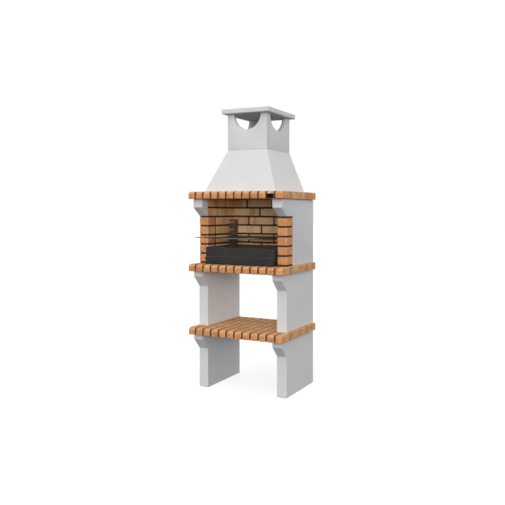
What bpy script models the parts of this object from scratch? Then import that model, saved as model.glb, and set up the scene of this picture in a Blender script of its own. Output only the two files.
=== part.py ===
"""Outdoor masonry barbecue of precast concrete and brick, built as it is stacked on site.

Units are metres, +Z is up and the front faces -Y. Inside the script, y is measured back from
the front face of the brick slabs and z up from the ground. The empty named barbecue then moves
everything so that the origin is under the middle of the bounding box.
"""
import math

import bmesh
import bpy
from mathutils import Vector

for leftover in list(bpy.data.objects):
    bpy.data.objects.remove(leftover, do_unlink=True)

# Fits shared by every piece
GAP = 0.0003                    # between pieces that rest on or touch each other
OVERRUN = 0.004                 # how far a cutter runs past what it cuts
WELD = 0.0006                   # how deep crossing rods sink into each other

# Brick slabs: bottom shelf, worktop and lintel share one plan
ROW_COUNT = 12
BRICK_WIDTH = 0.054
MORTAR_JOINT = 0.013
SLAB_DEPTH = 0.5115
SLAB_THICKNESS = 0.054
NOSE_BRICK_LENGTH = 0.115       # full-height brick at the front of each row
SLIP_THICKNESS = 0.030          # the thinner bricks behind it, laid on the bed
NOSE_RADIUS = 0.020             # rounded upper front edge
TOE_RADIUS = 0.005              # rounded lower front edge
BRICK_EDGE = 0.003              # worn edge of a brick
JOINT_RECESS = 0.003            # mortar lies this far behind the brick faces
LINTEL_FRONT_BEAM = 0.030       # bed behind the lintel's front bricks
LINTEL_REAR_BEAM = 0.060

# Concrete side panels
LEG_LOWER_HEIGHT = 0.411
LEG_UPPER_HEIGHT = 0.415
FIREBOX_HEIGHT = 0.480
PANEL_THICKNESS = 0.078
SIDE_OVERHANG = 0.0205          # slab past the panel's outer face
LEG_OVERHANG = 0.0982           # slab past the front face of the panels below it
FRONT_OVERHANG = 0.102          # slab past the front of the pilasters and firebox sides
LEG_CORBEL_REACH = 0.063
LEG_CORBEL_LIP = 0.037
LEG_CORBEL_DROP = 0.118
FIREBOX_CORBEL_REACH = 0.0685
FIREBOX_CORBEL_LIP = 0.062
CONCRETE_EDGE = 0.003

# Firebox brickwork
COURSE_COUNT = 7
PILASTER_COURSES = 5
PILASTER_DEPTH = 0.0915
PILASTER_CORNER = 0.008
LINING_THICKNESS = 0.030
BACK_PANEL_THICKNESS = 0.0345
LINING_BRICK_LENGTH = 0.218
LINING_SHORT_BRICK = 0.110      # first brick of the two upper side courses
BOND_SHARES = (0.56, 1.06, 0.56, 1.06, 0.56, 1.00, 0.48)   # first joint of each course, bottom up

# Hood, stack and cap
HOOD_BASE_WIDTH = 0.600
HOOD_FRONT_SETBACK = 0.0685     # hood's base behind the slab's front
HOOD_HEIGHT = 0.313
HOOD_WALL = 0.030
HOOD_REAR_SETBACK = 0.0005
STACK_WIDTH = 0.336
STACK_HEIGHT = 0.265
STACK_WALL = 0.030
STACK_REAR_SETBACK = 0.005
VENT_RADIUS = 0.117
VENT_STEPS = 40
CAP_OVERHANG = 0.0335
CAP_THICKNESS = 0.0365

# Charcoal box of sheet steel
BOX_SETBACK = 0.071             # front wall behind the slab's front
BOX_HEIGHT = 0.126
BOX_SHEET = 0.0025
BOX_SIDE_CLEARANCE = 0.0056
BOX_REAR_CLEARANCE = 0.0067
LEDGE_HEIGHT = 0.052            # underside of the grate ledges above the box's underside
LEDGE_DEPTH = 0.012
MOUTH_HEIGHT = 0.049            # top of the ash mouth above the box's underside
EAR_REACH = 0.011
EAR_HEIGHT = 0.014

# Ash flap in front of the mouth
FLAP_AXIS_HEIGHT = 0.0442       # above the box's underside
FLAP_AXIS_REACH = 0.0055        # in front of the box's front wall
FLAP_TUBE_RADIUS = 0.004
FLAP_SHEET = 0.002
FLAP_DROP = 0.0405              # from the axis to the lower edge
FLAP_LIP = 0.006
FLAP_SIDE_CLEARANCE = 0.0010
PIN_RADIUS = 0.003
PIN_CLEARANCE = 0.0004
PIN_REACH = 0.013               # past the box's side
ROUND_STEPS = 16

# Fire grate inside the box
GRATE_BAR_COUNT = 17
GRATE_BAR = 0.010
GRATE_THICKNESS = 0.008
GRATE_CLEARANCE = 0.003

# Slotted racks in the box's rear corners
RACK_SHEET = 0.003
RACK_TOP = 0.324                # above the worktop
RACK_FOOT = 0.012               # above the box's floor
RACK_DEPTH = 0.1125
RACK_SIDE_GAP = 0.022           # between the rack plate and the box's side wall
RACK_FLANGE = 0.0205
SLOT_COUNT = 3
SLOT_PITCH = 0.0575
SLOT_SPINE = 0.024              # plate left behind each slot
SLOT_PLAY = 0.0009

# Grill of round rods
ROD_RADIUS = 0.003
WIRE_RADIUS = 0.002
ROD_SIDES = 8
WIRE_SIDES = 6
WIRE_COUNT = 22
GRILL_HEIGHT = 0.1905           # axis of the frame rod above the worktop
GRILL_FRONT = 0.073             # axis of the front rod
GRILL_SIDE_CLEARANCE = 0.015    # between the side rod and the rack plate
GRILL_REAR_CLEARANCE = 0.008    # between the rear rod's axis and the rack's spine
GRILL_CORNER = 0.010
TAIL_SPACING = 0.050            # between the two rods held in the slots
TAIL_REACH = 0.009              # rod end past the rack plate
TAIL_FRONT_GAP = 0.020          # wires end this far in front of the upper tail rod
HANDLE_REACH = 0.195
HANDLE_RISE = 0.016
HANDLE_WIDTH = 0.075
HANDLE_CORNER = 0.018
CORNER_STEPS = 4

# Levels and planes that follow from the sizes
SLAB_WIDTH = ROW_COUNT * BRICK_WIDTH + (ROW_COUNT - 1) * MORTAR_JOINT
ROW_PITCH = BRICK_WIDTH + MORTAR_JOINT
SHELF_BASE = LEG_LOWER_HEIGHT
SHELF_TOP = SHELF_BASE + SLAB_THICKNESS
WORKTOP_BASE = SHELF_TOP + LEG_UPPER_HEIGHT
WORKTOP_TOP = WORKTOP_BASE + SLAB_THICKNESS
LINTEL_BASE = WORKTOP_TOP + FIREBOX_HEIGHT
LINTEL_TOP = LINTEL_BASE + SLAB_THICKNESS
HOOD_TOP = LINTEL_TOP + HOOD_HEIGHT
STACK_TOP = HOOD_TOP + STACK_HEIGHT
PANEL_OUTER = SLAB_WIDTH / 2 - SIDE_OVERHANG
PANEL_INNER = PANEL_OUTER - PANEL_THICKNESS
COURSE_PITCH = FIREBOX_HEIGHT / COURSE_COUNT
PILASTER_TOP = WORKTOP_TOP + MORTAR_JOINT + PILASTER_COURSES * COURSE_PITCH
PILASTER_REAR = FRONT_OVERHANG + PILASTER_DEPTH
BACK_PANEL_FACE = SLAB_DEPTH - BACK_PANEL_THICKNESS
BACK_LINING_FACE = BACK_PANEL_FACE - LINING_THICKNESS
HOOD_REAR = SLAB_DEPTH - HOOD_REAR_SETBACK
STACK_REAR = SLAB_DEPTH - STACK_REAR_SETBACK
STACK_FRONT = STACK_REAR - STACK_WIDTH
CAP_REAR = STACK_REAR + CAP_OVERHANG
BOX_BASE = WORKTOP_TOP + GAP
BOX_TOP = BOX_BASE + BOX_HEIGHT
BOX_HALF = PANEL_INNER - BOX_SIDE_CLEARANCE
BOX_INNER_HALF = BOX_HALF - BOX_SHEET
BOX_REAR = BACK_LINING_FACE - BOX_REAR_CLEARANCE
BOX_INNER_REAR = BOX_REAR - BOX_SHEET
FLAP_AXIS_Y = BOX_SETBACK - FLAP_AXIS_REACH
FLAP_AXIS_Z = BOX_BASE + FLAP_AXIS_HEIGHT
RACK_OUTER = BOX_INNER_HALF - RACK_SIDE_GAP
RACK_INNER = RACK_OUTER - RACK_SHEET
RACK_REAR = BOX_INNER_REAR - GAP
RACK_FRONT = RACK_REAR - RACK_DEPTH
GRILL_Z = WORKTOP_TOP + GRILL_HEIGHT
GRILL_HALF = RACK_INNER - GRILL_SIDE_CLEARANCE - ROD_RADIUS
GRILL_REAR = RACK_REAR - SLOT_SPINE - GRILL_REAR_CLEARANCE
ROD_STEP = 2 * ROD_RADIUS - WELD            # height between rods welded across each other
WIRE_STEP = ROD_RADIUS + WIRE_RADIUS - WELD
SLOT_BASE = GRILL_Z - ROD_STEP - ROD_RADIUS - GAP
SLOT_HEIGHT = 2 * ROD_STEP + 2 * ROD_RADIUS + GAP + SLOT_PLAY
HANDLE_TIP = GRILL_FRONT - HANDLE_REACH
ORIGIN_Y = (HANDLE_TIP - ROD_RADIUS + CAP_REAR) / 2
SIDES = {"left": -1, "right": 1}


def linear(hex_colour):
    """Turn an sRGB hex colour into linear RGBA."""
    channels = [int(hex_colour[i:i + 2], 16) / 255 for i in (1, 3, 5)]
    curve = [c / 12.92 if c <= 0.04045 else ((c + 0.055) / 1.055) ** 2.4 for c in channels]
    return (*curve, 1.0)


def material(name, hex_colour, roughness, metallic=0.0):
    made = bpy.data.materials.new(name)
    made.use_nodes = True
    shader = made.node_tree.nodes["Principled BSDF"]
    shader.inputs["Base Color"].default_value = linear(hex_colour)
    shader.inputs["Roughness"].default_value = roughness
    shader.inputs["Metallic"].default_value = metallic
    made.diffuse_color = linear(hex_colour)
    return made


CONCRETE = material("painted_concrete", "#DDDDDB", 0.85)
BRICK = material("fired_brick", "#D08A55", 0.80)
FIREBRICK = material("refractory_brick", "#B08A62", 0.85)
MORTAR = material("dark_mortar", "#5A4A3C", 0.95)
BLACK_STEEL = material("black_sheet_steel", "#3A3936", 0.50, 0.6)
CAST_IRON = material("cast_iron", "#2E2D2C", 0.70, 0.8)
CHROME = material("chromed_rod", "#C8C8C8", 0.15, 1.0)

barbecue = bpy.data.objects.new("barbecue", None)
barbecue.location = (0, -ORIGIN_Y, 0)
bpy.context.collection.objects.link(barbecue)


def add_object(name, mesh, origin):
    piece = bpy.data.objects.new(name, mesh)
    piece.location = origin
    piece.parent = barbecue
    bpy.context.collection.objects.link(piece)
    return piece


def add_part(name, shape, finish, origin=(0, 0, 0), smooth=False):
    """Turn a bmesh into a named object whose own origin lies at the given point."""
    bmesh.ops.recalc_face_normals(shape, faces=shape.faces)
    bmesh.ops.translate(shape, verts=shape.verts, vec=-Vector(origin))
    mesh = bpy.data.meshes.new(name)
    shape.to_mesh(mesh)
    shape.free()
    mesh.materials.append(finish)
    if smooth:
        mesh.shade_smooth()
        mesh.set_sharp_from_angle(angle=math.radians(35))
    return add_object(name, mesh, origin)


def hide_tool(tool):
    tool.hide_render = True
    tool.display_type = "WIRE"


def combine(piece, operation, shape, name):
    """Add or cut a second shape with a Boolean; the tool object stays hidden."""
    tool = add_part(name, shape, piece.data.materials[0])
    hide_tool(tool)
    step = piece.modifiers.new(name, "BOOLEAN")
    step.operation = operation
    step.solver = "EXACT"
    step.object = tool


def soften(piece, width, segments=1):
    bevel = piece.modifiers.new("worn_edges", "BEVEL")
    bevel.width = width
    bevel.segments = segments
    bevel.limit_method = "ANGLE"
    bevel.angle_limit = math.radians(40)


def add_face(shape, points):
    return shape.faces.new([shape.verts.new(point) for point in points])


def extend(shape, faces, vector):
    """Extrude faces along a vector and return the moved copies."""
    edges = {edge for face in faces for edge in face.edges}
    grown = bmesh.ops.extrude_face_region(shape, geom=faces + list(edges))["geom"]
    moved = [item for item in grown if isinstance(item, bmesh.types.BMVert)]
    bmesh.ops.translate(shape, verts=moved, vec=vector)
    return [item for item in grown if isinstance(item, bmesh.types.BMFace)]


def prism(outline, start, end, shape=None):
    """Extrude a side outline of (y, z) points from x = start to x = end."""
    shape = shape or bmesh.new()
    face = add_face(shape, [(start, y, z) for y, z in outline])
    extend(shape, [face], Vector((end - start, 0, 0)))
    return shape


def block(low, high, shape=None):
    """Add a box between two corners."""
    outline = [(low[1], low[2]), (high[1], low[2]), (high[1], high[2]), (low[1], high[2])]
    return prism(outline, low[0], high[0], shape)


def cells(xs, ys, zs, filled):
    """Close the surface round the filled cells of a grid of boxes."""
    shape = bmesh.new()
    corners = {}
    counts = (len(xs) - 1, len(ys) - 1, len(zs) - 1)

    def corner(index):
        if index not in corners:
            i, j, k = index
            corners[index] = shape.verts.new((xs[i], ys[j], zs[k]))
        return corners[index]

    def is_filled(cell):
        inside = all(0 <= cell[a] < counts[a] for a in range(3))
        return inside and filled(*cell)

    for i in range(counts[0]):
        for j in range(counts[1]):
            for k in range(counts[2]):
                if not is_filled((i, j, k)):
                    continue
                for axis in range(3):
                    for side in (0, 1):
                        near = [i, j, k]
                        near[axis] += 2 * side - 1
                        if is_filled(tuple(near)):
                            continue
                        ring = []
                        for a, b in ((0, 0), (1, 0), (1, 1), (0, 1)):
                            at = [i, j, k]
                            at[axis] += side
                            at[(axis + 1) % 3] += a
                            at[(axis + 2) % 3] += b
                            ring.append(corner(tuple(at)))
                        shape.faces.new(ring if side else ring[::-1])
    flat = math.radians(1)
    bmesh.ops.dissolve_limit(shape, angle_limit=flat, verts=shape.verts, edges=shape.edges)
    return shape


def join_rings(shape, first, second):
    count = len(first)
    for i in range(count):
        shape.faces.new((first[i], first[(i + 1) % count], second[(i + 1) % count], second[i]))


def loft(rings, closed=False, shape=None):
    """Skin a list of rings; a closed loft joins the last ring to the first."""
    shape = shape or bmesh.new()
    made = [[shape.verts.new(point) for point in ring] for ring in rings]
    for first, second in zip(made, made[1:]):
        join_rings(shape, first, second)
    if closed:
        join_rings(shape, made[-1], made[0])
    else:
        shape.faces.new(made[0])
        shape.faces.new(made[-1])
    return shape


def arc(centre, radius, start, end, steps):
    """Points of a circular arc in a plane, angles in degrees."""
    angles = [math.radians(start + (end - start) * i / steps) for i in range(steps + 1)]
    return [(centre[0] + radius * math.cos(a), centre[1] + radius * math.sin(a)) for a in angles]


def round_corners(points, radius, steps, closed=False):
    """Replace the corners of a path by arcs of the given radius."""
    path = [Vector(point) for point in points]
    count = len(path)
    made = []
    for i, corner in enumerate(path):
        if not closed and i in (0, count - 1):
            made.append(corner)
            continue
        back = (path[i - 1] - corner).normalized()
        ahead = (path[(i + 1) % count] - corner).normalized()
        half = back.angle(ahead) / 2
        run = radius / math.tan(half)
        middle = corner + (back + ahead).normalized() * (radius / math.sin(half))
        first = corner + back * run - middle
        last = corner + ahead * run - middle
        turn = first.angle(last)
        for s in range(steps + 1):
            t = s / steps
            weight = (math.sin((1 - t) * turn), math.sin(t * turn))
            made.append(middle + (first * weight[0] + last * weight[1]) / math.sin(turn))
    return made


def sweep(path, radius, sides, closed=False, shape=None):
    """Carry a round section along a path; the section's up direction stays near +Z."""
    path = [Vector(point) for point in path]
    count = len(path)
    rings = []
    for i, point in enumerate(path):
        before = path[i - 1] if closed or i > 0 else point
        after = path[(i + 1) % count] if closed or i < count - 1 else point
        ahead = (after - before).normalized()
        side = ahead.cross(Vector((0, 0, 1))).normalized()
        up = side.cross(ahead)
        stretch = 1.0
        if point != before and point != after:
            stretch = 1 / math.cos((point - before).angle(after - point) / 2)
        ring = []
        for s in range(sides):
            angle = 2 * math.pi * (s + 0.5) / sides
            across = side * (math.cos(angle) * radius * stretch)
            ring.append(point + across + up * (math.sin(angle) * radius))
        rings.append(ring)
    return loft(rings, closed, shape)


def rod_x(half_length, y, z, radius, sides, shape=None):
    """A round rod along X, centred on the middle plane."""
    rings = []
    for x in (-half_length, half_length):
        ring = arc((y, z), radius, 0, 360, sides)[:-1]
        rings.append([(x, point[0], point[1]) for point in ring])
    return loft(rings, shape=shape)


def row_centre(row):
    """Middle of a brick row, rows counted from 0 at the left."""
    return (row - (ROW_COUNT - 1) / 2) * ROW_PITCH


def row_outline(base, top, rear, tail_base):
    """Side outline of a brick row: rounded nose, full-height front, thinner tail if any."""
    toe = arc((TOE_RADIUS, base + TOE_RADIUS), TOE_RADIUS, 180, 270, 2)
    nose = arc((NOSE_RADIUS, top - NOSE_RADIUS), NOSE_RADIUS, 90, 180, 5)
    tail = [(rear, base), (rear, top)]
    if tail_base > base:
        tail = [(NOSE_BRICK_LENGTH, base), (NOSE_BRICK_LENGTH, tail_base),
                (rear, tail_base), (rear, top)]
    return toe + tail + nose


def wear_sides(shape, inner_corner):
    """Chamfer the rim of both side faces, apart from the hidden edges at the inner corner."""
    rim = []
    for edge in shape.edges:
        ends = [vert.co for vert in edge.verts]
        hidden = any((end.yz - inner_corner).length < GAP for end in ends)
        if abs(ends[0].x - ends[1].x) < GAP and not hidden:
            rim.append(edge)
    bmesh.ops.bevel(shape, geom=rim, offset=BRICK_EDGE, offset_type="OFFSET", segments=1,
                    profile=0.5, affect="EDGES", clamp_overlap=True)


def make_rows(label, base, inner_rear, tail_base):
    """Twelve rows of one slab; the two end rows are full height over the whole depth."""
    top = base + SLAB_THICKNESS
    half = BRICK_WIDTH / 2
    plans = {"end": row_outline(base, top, SLAB_DEPTH, base),
             "inner": row_outline(base, top, inner_rear, tail_base)}
    meshes = {}
    for row in range(ROW_COUNT):
        kind = "end" if row in (0, ROW_COUNT - 1) else "inner"
        name = f"{label}_row_{row + 1:02d}"
        origin = (row_centre(row), 0, base)
        if kind in meshes:
            add_object(name, meshes[kind], origin)
            continue
        shape = prism(plans[kind], origin[0] - half, origin[0] + half)
        wear_sides(shape, Vector((NOSE_BRICK_LENGTH, tail_base)))
        meshes[kind] = add_part(name, shape, BRICK, origin, smooth=True).data


def make_ribs(base, top, rear):
    """Mortar between the rows, following their rounded nose a little behind the faces."""
    front = JOINT_RECESS
    radius = NOSE_RADIUS - JOINT_RECESS
    low = base + JOINT_RECESS
    high = top - JOINT_RECESS
    nose = arc((front + radius, high - radius), radius, 90, 180, 4)
    outline = [(front, low), (rear, low), (rear, high)] + nose
    half = MORTAR_JOINT / 2 - GAP
    shape = bmesh.new()
    for joint in range(ROW_COUNT - 1):
        middle = row_centre(joint) + ROW_PITCH / 2
        prism(outline, middle - half, middle + half, shape)
    return shape


def make_slab(label, base):
    """A flat slab: rows of brick laid in a bed of mortar."""
    top = base + SLAB_THICKNESS
    tail_base = top - SLIP_THICKNESS
    make_rows(label, base, SLAB_DEPTH, tail_base)
    half = SLAB_WIDTH / 2 - BRICK_WIDTH - GAP
    low = (-half, NOSE_BRICK_LENGTH + GAP, base)
    high = (half, SLAB_DEPTH, tail_base - GAP)
    bed = add_part(f"{label}_bed", block(low, high), MORTAR, (0, 0, base))
    ribs = make_ribs(base, top, SLAB_DEPTH - JOINT_RECESS)
    combine(bed, "UNION", ribs, f"{label}_ribs")


def make_lintel():
    """The lintel carries brick on its front and sides and is open in the middle for the flue."""
    top = LINTEL_TOP
    make_rows("lintel", LINTEL_BASE, NOSE_BRICK_LENGTH, LINTEL_BASE)
    half = SLAB_WIDTH / 2 - BRICK_WIDTH - GAP
    flue_half = HOOD_BASE_WIDTH / 2 - HOOD_WALL
    front = NOSE_BRICK_LENGTH + GAP
    flue_front = front + LINTEL_FRONT_BEAM
    flue_rear = SLAB_DEPTH - LINTEL_REAR_BEAM
    xs = (-half, -flue_half, flue_half, half)
    ys = (front, flue_front, flue_rear, SLAB_DEPTH)
    ring = cells(xs, ys, (LINTEL_BASE, top), lambda i, j, k: (i, j) != (1, 1))
    bed = add_part("lintel_bed", ring, MORTAR, (0, 0, LINTEL_BASE))
    ribs = make_ribs(LINTEL_BASE, top, front + LINTEL_FRONT_BEAM / 2)
    combine(bed, "UNION", ribs, "lintel_ribs")


def corbelled_outline(base, top, reach, lip, drop):
    """Side outline of a panel whose head steps forward to carry the slab above."""
    front = LEG_OVERHANG
    head = front - reach
    return [(front, base), (SLAB_DEPTH, base), (SLAB_DEPTH, top), (head, top),
            (head, top - lip), (front, top - drop)]


def make_leg(name, side, base, height):
    outline = corbelled_outline(base, base + height - GAP, LEG_CORBEL_REACH,
                                LEG_CORBEL_LIP, LEG_CORBEL_DROP)
    middle = side * (PANEL_INNER + PANEL_OUTER) / 2
    half = PANEL_THICKNESS / 2
    shape = prism(outline, middle - half, middle + half)
    leg = add_part(name, shape, CONCRETE, (middle, LEG_OVERHANG, base))
    soften(leg, CONCRETE_EDGE)


def make_firebox_side(name, side):
    """Outer skin of the firebox with a full-thickness corbel over the pilaster."""
    base = WORKTOP_TOP + GAP
    top = LINTEL_BASE - GAP
    head = FRONT_OVERHANG - FIREBOX_CORBEL_REACH
    seat = PILASTER_TOP + GAP
    outer = side * PANEL_OUTER
    skin = side * (PANEL_INNER + LINING_THICKNESS + GAP)
    inner = side * PANEL_INNER
    back = PILASTER_REAR + GAP
    shape = bmesh.new()
    points = {
        "toe": (back, base), "heel": (SLAB_DEPTH, base), "rear": (SLAB_DEPTH, top),
        "split": (FRONT_OVERHANG, top), "head": (head, top),
        "lip": (head, LINTEL_BASE - FIREBOX_CORBEL_LIP), "seat": (FRONT_OVERHANG, seat),
        "notch": (back, seat)}
    verts = {key: shape.verts.new((outer, y, z)) for key, (y, z) in points.items()}
    body = [verts[key] for key in ("toe", "heel", "rear", "split", "seat", "notch")]
    corbel = [verts[key] for key in ("split", "head", "lip", "seat")]
    faces = [shape.faces.new(body), shape.faces.new(corbel)]
    grown = extend(shape, faces, Vector((skin - outer, 0, 0)))
    inside = min(grown, key=lambda face: face.calc_center_median().y)
    extend(shape, [inside], Vector((inner - skin, 0, 0)))
    origin = (side * (PANEL_INNER + PANEL_OUTER) / 2, FRONT_OVERHANG, base)
    add_part(name, shape, CONCRETE, origin)


def make_pilaster(name, side):
    """Five bricks in dark mortar, with rounded front corners."""
    inner = PANEL_INNER
    outer = PANEL_OUTER
    rear = PILASTER_REAR

    def ring(inset, z):
        radius = PILASTER_CORNER - inset
        front = FRONT_OVERHANG + inset
        low_centre = (inner + PILASTER_CORNER, front + radius)
        high_centre = (outer - PILASTER_CORNER, front + radius)
        plan = arc(low_centre, radius, 180, 270, 3) + arc(high_centre, radius, 270, 360, 3)
        plan += [(outer - inset, rear), (inner + inset, rear)]
        return [(side * x, y, z) for x, y in plan]

    worn = BRICK_EDGE / 2
    rings = [ring(JOINT_RECESS, WORKTOP_TOP + GAP)]
    for course in range(PILASTER_COURSES):
        low = WORKTOP_TOP + MORTAR_JOINT + course * COURSE_PITCH
        high = low + COURSE_PITCH - MORTAR_JOINT
        rings += [ring(JOINT_RECESS, low), ring(worn, low), ring(0, low + worn),
                  ring(0, high - worn), ring(worn, high), ring(JOINT_RECESS, high)]
    rings.append(ring(JOINT_RECESS, PILASTER_TOP))
    origin = (side * (inner + outer) / 2, FRONT_OVERHANG, WORKTOP_TOP)
    add_part(name, loft(rings), BRICK, origin)


def course_levels():
    """Heights of the bed joints and brick courses of the lining, bottom up."""
    levels = [WORKTOP_TOP + GAP]
    for course in range(COURSE_COUNT):
        low = WORKTOP_TOP + MORTAR_JOINT + course * COURSE_PITCH
        levels.append(low)
        if course < COURSE_COUNT - 1:
            levels.append(low + COURSE_PITCH - MORTAR_JOINT)
    levels.append(LINTEL_BASE - GAP)
    return levels


def make_side_lining(name, side):
    """Firebrick on the inner face of one side, joints a little behind the bricks."""
    lower_start = PILASTER_REAR + GAP
    upper_start = FRONT_OVERHANG + GAP
    short_end = upper_start + LINING_SHORT_BRICK
    ys = (upper_start, lower_start, lower_start + MORTAR_JOINT, short_end,
          short_end + MORTAR_JOINT, BACK_LINING_FACE - GAP)
    xs = (side * PANEL_INNER, side * (PANEL_INNER + JOINT_RECESS),
          side * (PANEL_INNER + LINING_THICKNESS))
    zs = course_levels()
    upper_level = 2 * PILASTER_COURSES + 1

    def filled(i, j, k):
        upper = k >= upper_level
        if j == 0 and not upper:
            return False
        if i == 1:
            return True
        is_brick = k % 2 == 1
        joint = 3 if upper else 1
        return is_brick and j != joint

    shape = cells(xs, ys, zs, filled)
    origin = (side * PANEL_INNER, FRONT_OVERHANG, WORKTOP_TOP)
    add_part(name, shape, FIREBRICK, origin)


def make_back_lining():
    """Firebrick in running bond across the back of the firebox."""
    half = PANEL_INNER + LINING_THICKNESS
    pitch = LINING_BRICK_LENGTH + MORTAR_JOINT
    joints = []
    edges = {-half, half}
    for share in BOND_SHARES:
        course = []
        middle = -PANEL_INNER + share * pitch
        while middle < PANEL_INNER - MORTAR_JOINT:
            course.append((middle - MORTAR_JOINT / 2, middle + MORTAR_JOINT / 2))
            middle += pitch
        joints.append(course)
        edges.update(edge for joint in course for edge in joint)
    xs = []
    for edge in sorted(edges):
        if not xs or edge - xs[-1] > GAP:
            xs.append(edge)
    ys = (BACK_LINING_FACE, BACK_LINING_FACE + JOINT_RECESS, BACK_PANEL_FACE - GAP)
    zs = course_levels()

    def filled(i, j, k):
        if j == 1:
            return True
        if k % 2 == 0:
            return False
        middle = (xs[i] + xs[i + 1]) / 2
        return not any(low < middle < high for low, high in joints[k // 2])

    shape = cells(xs, ys, zs, filled)
    add_part("lining_back", shape, FIREBRICK, (0, BACK_LINING_FACE, WORKTOP_TOP))


def make_back_panel():
    half = PANEL_INNER + LINING_THICKNESS
    low = (-half, BACK_PANEL_FACE, WORKTOP_TOP + GAP)
    high = (half, SLAB_DEPTH, LINTEL_BASE - GAP)
    panel = add_part("firebox_back", block(low, high), CONCRETE, (0, SLAB_DEPTH, WORKTOP_TOP))
    soften(panel, CONCRETE_EDGE)


def plan_ring(half_width, front, rear, z):
    return [(-half_width, front, z), (half_width, front, z), (half_width, rear, z),
            (-half_width, rear, z)]


def make_hood():
    """Hollow tapered hood from the lintel up to the stack."""
    base = LINTEL_TOP + GAP
    top = HOOD_TOP - GAP
    base_half = HOOD_BASE_WIDTH / 2
    base_front = HOOD_FRONT_SETBACK
    top_half = STACK_WIDTH / 2
    base_inner = base_half - HOOD_WALL
    top_inner = top_half - STACK_WALL
    rings = [plan_ring(base_half, base_front, HOOD_REAR, base),
             plan_ring(top_half, STACK_FRONT, STACK_REAR, top),
             plan_ring(top_inner, STACK_FRONT + STACK_WALL, STACK_REAR - STACK_WALL, top),
             plan_ring(base_inner, base_front + HOOD_WALL, HOOD_REAR - HOOD_WALL, base)]
    hood = add_part("hood", loft(rings, closed=True), CONCRETE, (0, STACK_REAR, base))
    soften(hood, CONCRETE_EDGE)


def make_stack():
    """Square flue with a half-round vent in the head of each side."""
    base = HOOD_TOP
    top = STACK_TOP - GAP
    half = STACK_WIDTH / 2
    inner = half - STACK_WALL
    front = STACK_FRONT + STACK_WALL
    rear = STACK_REAR - STACK_WALL
    middle = (STACK_FRONT + STACK_REAR) / 2
    rings = [plan_ring(half, STACK_FRONT, STACK_REAR, base),
             plan_ring(half, STACK_FRONT, STACK_REAR, top),
             plan_ring(inner, front, rear, top), plan_ring(inner, front, rear, base)]
    stack = add_part("stack", loft(rings, closed=True), CONCRETE, (0, middle, base))
    reach = half + OVERRUN
    circle = arc((0, STACK_TOP), VENT_RADIUS, 0, 360, VENT_STEPS)[:-1]
    across = loft([[(x, middle + u, z) for u, z in circle] for x in (-reach, reach)])
    along = loft([[(u, y, z) for u, z in circle] for y in (middle - reach, middle + reach)])
    combine(stack, "DIFFERENCE", across, "vent_cutter_sides")
    combine(stack, "DIFFERENCE", along, "vent_cutter_front")


def make_cap():
    half = STACK_WIDTH / 2 + CAP_OVERHANG
    low = (-half, STACK_FRONT - CAP_OVERHANG, STACK_TOP)
    high = (half, CAP_REAR, STACK_TOP + CAP_THICKNESS)
    cap = add_part("stack_cap", block(low, high), CONCRETE, (0, STACK_REAR, STACK_TOP))
    soften(cap, CONCRETE_EDGE)


def make_charcoal_box():
    """Open steel box: ledges for the grate, an ash mouth and two ears for the flap's pins."""
    ear_low = FLAP_AXIS_Z - EAR_HEIGHT / 2
    ear_high = FLAP_AXIS_Z + EAR_HEIGHT / 2
    ledge_half = RACK_INNER - GRATE_CLEARANCE
    xs = (-BOX_HALF, -BOX_INNER_HALF, -ledge_half, ledge_half, BOX_INNER_HALF, BOX_HALF)
    ys = (BOX_SETBACK - EAR_REACH, BOX_SETBACK, BOX_SETBACK + BOX_SHEET,
          BOX_SETBACK + BOX_SHEET + LEDGE_DEPTH, BOX_INNER_REAR - LEDGE_DEPTH,
          BOX_INNER_REAR, BOX_REAR)
    ledge_low = BOX_BASE + LEDGE_HEIGHT
    zs = sorted((BOX_BASE, BOX_BASE + BOX_SHEET, ear_low, ear_high, BOX_BASE + MOUTH_HEIGHT,
                 ledge_low, ledge_low + BOX_SHEET, BOX_TOP))

    def filled(i, j, k):
        middle = (zs[k] + zs[k + 1]) / 2
        is_side = i in (0, 4)
        if j == 0:
            return is_side and ear_low < middle < ear_high
        if middle < BOX_BASE + BOX_SHEET or is_side or j == 5:
            return True
        if j == 1:
            return middle > BOX_BASE + MOUTH_HEIGHT
        return i == 2 and j in (2, 4) and ledge_low < middle < ledge_low + BOX_SHEET

    shape = cells(xs, ys, zs, filled)
    origin = (0, BOX_SETBACK, BOX_BASE)
    box = add_part("charcoal_box", shape, BLACK_STEEL, origin)
    hole = rod_x(BOX_HALF + OVERRUN, FLAP_AXIS_Y, FLAP_AXIS_Z, PIN_RADIUS + PIN_CLEARANCE,
                 ROUND_STEPS)
    combine(box, "DIFFERENCE", hole, "pin_hole_cutter")


def make_ash_flap():
    """Flap over the ash mouth: a rolled hinge edge, a flat sheet and a lip to lift it by."""
    y = FLAP_AXIS_Y
    z = FLAP_AXIS_Z
    radius = FLAP_TUBE_RADIUS
    face = y - radius
    bottom = z - FLAP_DROP
    back = face + FLAP_SHEET
    meet = math.degrees(math.acos((radius - FLAP_SHEET) / radius))
    tube = arc((y, z), radius, 180 + meet - 360, 180, ROUND_STEPS - 2)
    outline = tube + [(face, bottom + FLAP_SHEET), (face - FLAP_LIP, bottom + FLAP_SHEET),
                      (face - FLAP_LIP, bottom), (back, bottom)]
    half = BOX_INNER_HALF - FLAP_SIDE_CLEARANCE
    flap = add_part("ash_flap", prism(outline, -half, half), BLACK_STEEL, (0, y, z), smooth=True)
    pin = rod_x(BOX_HALF + PIN_REACH, y, z, PIN_RADIUS, ROUND_STEPS)
    combine(flap, "UNION", pin, "flap_pin")


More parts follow.
